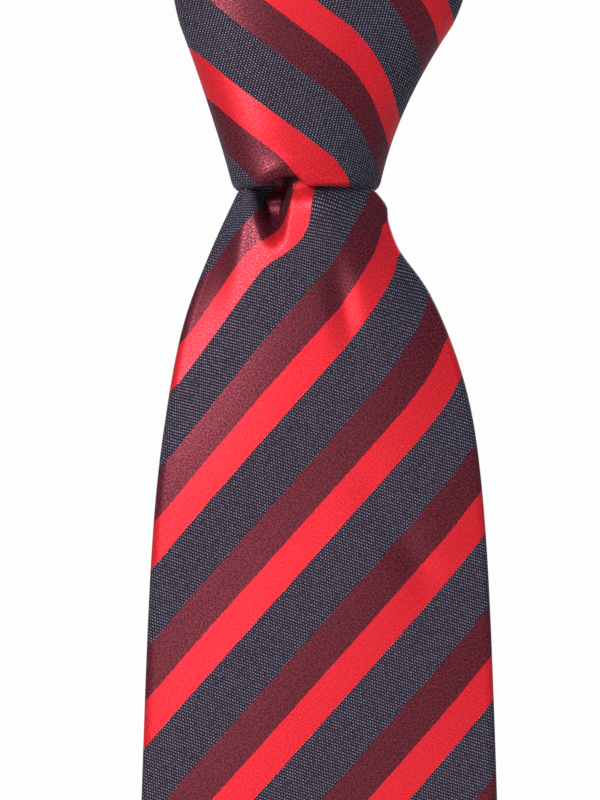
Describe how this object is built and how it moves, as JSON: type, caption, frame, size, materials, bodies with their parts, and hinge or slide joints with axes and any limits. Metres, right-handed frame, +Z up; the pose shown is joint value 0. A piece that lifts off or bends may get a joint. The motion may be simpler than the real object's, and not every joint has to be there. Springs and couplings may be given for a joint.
{
  "type": "necktie",
  "caption": "Tied striped silk necktie hanging as worn: neck loop, four-in-hand knot, wide front blade with keeper loop and narrow tail.",
  "frame": {"origin": "centre of the neck opening, halfway up the band at each side", "axes": "+Z up, -Y to the front where the knot and the front blade face, +X to the right as seen from the front"},
  "size_m": [0.1282, 0.1466, 0.5492],
  "materials": {
    "shell_silk": "striped jacquard silk, navy rib with satin red and burgundy",
    "burgundy_silk": "satin stripe of the same silk",
    "red_silk": "satin stripe of the same silk",
    "interlining_wool": "brushed wool blend",
    "tipping_lining": "plain smooth lining",
    "label_satin": "blank woven satin",
    "sewing_thread": "twisted silk thread"
  },
  "bodies": {
    "neck_loop": {"neck_gusset": "shell_silk", "neck_tail_side": "shell_silk", "neck_blade_side": "shell_silk", "neck_interlining": "interlining_wool", "neck_seam_tail_side": "sewing_thread", "neck_seam_blade_side": "sewing_thread", "neck_slip_stitch": "sewing_thread", "tail_strip_shell": "shell_silk", "tail_strip_interlining": "interlining_wool"},
    "knot": {"knot_front_band": "shell_silk", "knot_band_interlining": "interlining_wool", "knot_rear_wrap": "burgundy_silk", "knot_tuck": "red_silk", "knot_first_cross": "shell_silk", "knot_rising_pass": "burgundy_silk", "knot_top_fold": "burgundy_silk"},
    "front_blade": {"front_blade_shell": "shell_silk", "front_blade_interlining": "interlining_wool", "front_blade_tipping": "tipping_lining", "front_blade_slip_stitch": "sewing_thread", "front_blade_bar_tack": "sewing_thread", "front_blade_thread_loop": "sewing_thread", "front_blade_hem_stitch": "sewing_thread", "keeper_loop": "burgundy_silk", "keeper_stitch_left": "sewing_thread", "keeper_stitch_right": "sewing_thread", "maker_label": "label_satin", "maker_label_stitch_left": "sewing_thread", "maker_label_stitch_right": "sewing_thread", "care_label": "label_satin"},
    "tail": {"tail_shell": "shell_silk", "tail_interlining": "interlining_wool", "tail_tipping": "tipping_lining", "tail_slip_stitch": "sewing_thread", "tail_bar_tack": "sewing_thread", "tail_thread_loop": "sewing_thread", "tail_hem_stitch": "sewing_thread"}
  },
  "joints": [
    {"name": "knot_slide", "type": "slide", "parent": "neck_loop", "child": "knot", "axis": [0, 0, -1], "range_m": [0, 0.06]},
    {"name": "front_blade_swing", "type": "hinge", "parent": "knot", "child": "front_blade", "pos_m": [0, -0.0745, -0.08678], "axis": [-1, 0, 0], "range_deg": [0, 90]},
    {"name": "tail_swing", "type": "hinge", "parent": "neck_loop", "child": "tail", "pos_m": [0, -0.064, -0.15038], "axis": [1, 0, 0], "range_deg": [0, 40]}
  ]
}
